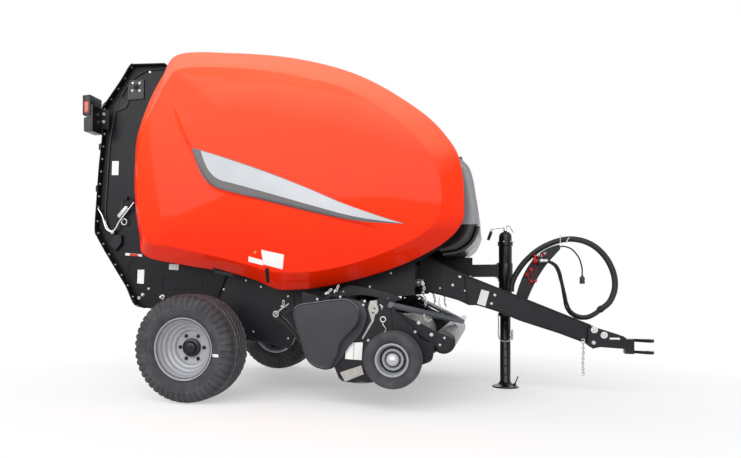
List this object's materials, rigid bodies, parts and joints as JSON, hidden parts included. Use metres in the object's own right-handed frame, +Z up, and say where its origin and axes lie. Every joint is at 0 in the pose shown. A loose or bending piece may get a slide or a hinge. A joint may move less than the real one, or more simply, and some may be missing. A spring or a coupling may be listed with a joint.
{
  "type": "round baler",
  "caption": "Towed round baler: belt chamber between side plates, hinged tailgate, gull-wing side panels, pickup with gauge wheels, drawbar and parking jack",
  "frame": {"origin": "on the ground at the middle of the object's box, midway between the rear lamps and the hitch fork's tip", "axes": "+X forwards to the tractor, +Y to the machine's left, +Z up"},
  "size_m": [4.732, 2.6, 2.865],
  "materials": {
    "red_paint": "smooth gloss moulded panel, orange-red",
    "black_paint": "semi-gloss near-black paint on welded steel",
    "grey_plastic": "satin grey moulded plastic",
    "rim_silver": "silver-grey painted wheel steel",
    "band_steel": "bright rolled steel bands",
    "roller_steel": "rolled steel tube, lightly worn",
    "tyre_rubber": "matt black tyre rubber",
    "belt_rubber": "textured black belting",
    "hose_rubber": "black hose cover",
    "cover_plastic": "dark grey moulded cover with a soft sheen",
    "lamp_plastic": "red and amber lamp lens in a dark housing",
    "crank_steel": "zinc plated crank rod with a black grip"
  },
  "bodies": {
    "chassis": {"axle_beam": "black_paint", "chamber_side_right": "black_paint", "chamber_side_left": "black_paint", "pivot_shaft": "roller_steel", "front_cover": "black_paint", "front_hood": "grey_plastic", "front_beam": "black_paint", "gearbox": "black_paint", "starter_roller": "roller_steel", "upper_roller": "roller_steel", "floor_roller": "roller_steel", "front_belts": "belt_rubber", "panel_rail_right": "black_paint", "panel_rail_left": "black_paint", "feeder_housing": "black_paint", "drive_cover_right": "cover_plastic", "drive_cover_left": "cover_plastic", "drawbar": "black_paint", "hitch_plates": "black_paint", "hitch_fork": "black_paint", "jack_tube": "black_paint", "jack_arm": "black_paint", "jack_crank": "crank_steel", "hose_carrier": "black_paint", "hose_sleeve": "hose_rubber", "hose_1": "hose_rubber", "hose_2": "hose_rubber", "hose_3": "hose_rubber", "control_cable": "hose_rubber", "cable_plug": "cover_plastic"},
    "wheel_right": {"tyre_right": "tyre_rubber", "rim_right": "rim_silver"},
    "wheel_left": {"tyre_left": "tyre_rubber", "rim_left": "rim_silver"},
    "tailgate": {"tailgate_side_right": "black_paint", "tailgate_side_left": "black_paint", "tailgate_roller_lower": "roller_steel", "tailgate_roller_front": "roller_steel", "tailgate_roller_upper": "roller_steel", "tailgate_roller_rear": "roller_steel", "tailgate_cross": "black_paint", "tailgate_belts": "belt_rubber", "tail_lamp_right": "lamp_plastic", "tail_lamp_left": "lamp_plastic"},
    "panel_right": {"side_panel_right": "red_paint"},
    "panel_left": {"side_panel_left": "red_paint"},
    "rotor": {"feed_rotor": "black_paint"},
    "pickup": {"pickup_side_right": "black_paint", "pickup_side_left": "black_paint", "pickup_bands": "band_steel", "pickup_beam": "black_paint"},
    "reel": {"pickup_reel": "black_paint"},
    "gauge_wheel_right": {"gauge_tyre_right": "tyre_rubber", "gauge_rim_right": "rim_silver"},
    "gauge_wheel_left": {"gauge_tyre_left": "tyre_rubber", "gauge_rim_left": "rim_silver"},
    "windguard": {"windguard_frame": "black_paint"},
    "guard_roller": {"windguard_roller": "roller_steel"},
    "leg": {"jack_leg": "black_paint"}
  },
  "joints": [
    {"name": "wheel_right_spin", "type": "hinge", "parent": "chassis", "child": "wheel_right", "pos_m": [-1.172, -1.105, 0.4225], "axis": [0, 1, 0], "continuous": true},
    {"name": "wheel_left_spin", "type": "hinge", "parent": "chassis", "child": "wheel_left", "pos_m": [-1.172, 1.105, 0.4225], "axis": [0, 1, 0], "continuous": true},
    {"name": "tailgate_lift", "type": "hinge", "parent": "chassis", "child": "tailgate", "pos_m": [-0.372, 0, 2.62], "axis": [0, 1, 0], "range_deg": [0, 55]},
    {"name": "panel_right_open", "type": "hinge", "parent": "chassis", "child": "panel_right", "pos_m": [-1.422, -0.75, 2.8], "axis": [-0.9895, 0, 0.1443], "range_deg": [0, 55]},
    {"name": "panel_left_open", "type": "hinge", "parent": "chassis", "child": "panel_left", "pos_m": [-1.422, 0.75, 2.8], "axis": [0.9895, 0, -0.1443], "range_deg": [0, 55]},
    {"name": "rotor_spin", "type": "hinge", "parent": "chassis", "child": "rotor", "pos_m": [-0.052, 0, 0.59], "axis": [0, 1, 0], "continuous": true},
    {"name": "pickup_lift", "type": "hinge", "parent": "chassis", "child": "pickup", "pos_m": [-0.052, 0, 0.59], "axis": [0, 1, 0], "range_deg": [0, 22]},
    {"name": "reel_spin", "type": "hinge", "parent": "pickup", "child": "reel", "pos_m": [0.388, 0, 0.47], "axis": [0, 1, 0], "continuous": true},
    {"name": "gauge_wheel_right_spin", "type": "hinge", "parent": "pickup", "child": "gauge_wheel_right", "pos_m": [0.43, -1.1975, 0.384], "axis": [0, 1, 0], "continuous": true},
    {"name": "gauge_wheel_left_spin", "type": "hinge", "parent": "pickup", "child": "gauge_wheel_left", "pos_m": [0.43, 1.1975, 0.384], "axis": [0, 1, 0], "continuous": true},
    {"name": "windguard_tilt", "type": "hinge", "parent": "pickup", "child": "windguard", "pos_m": [0.388, 0, 0.77], "axis": [0, -1, 0], "range_deg": [-4, 11]},
    {"name": "guard_roller_spin", "type": "hinge", "parent": "windguard", "child": "guard_roller", "pos_m": [0.767, 0, 0.497], "axis": [0, 1, 0], "continuous": true},
    {"name": "jack_slide", "type": "slide", "parent": "chassis", "child": "leg", "axis": [0, 0, 1], "range_m": [0, 0.35]}
  ]
}
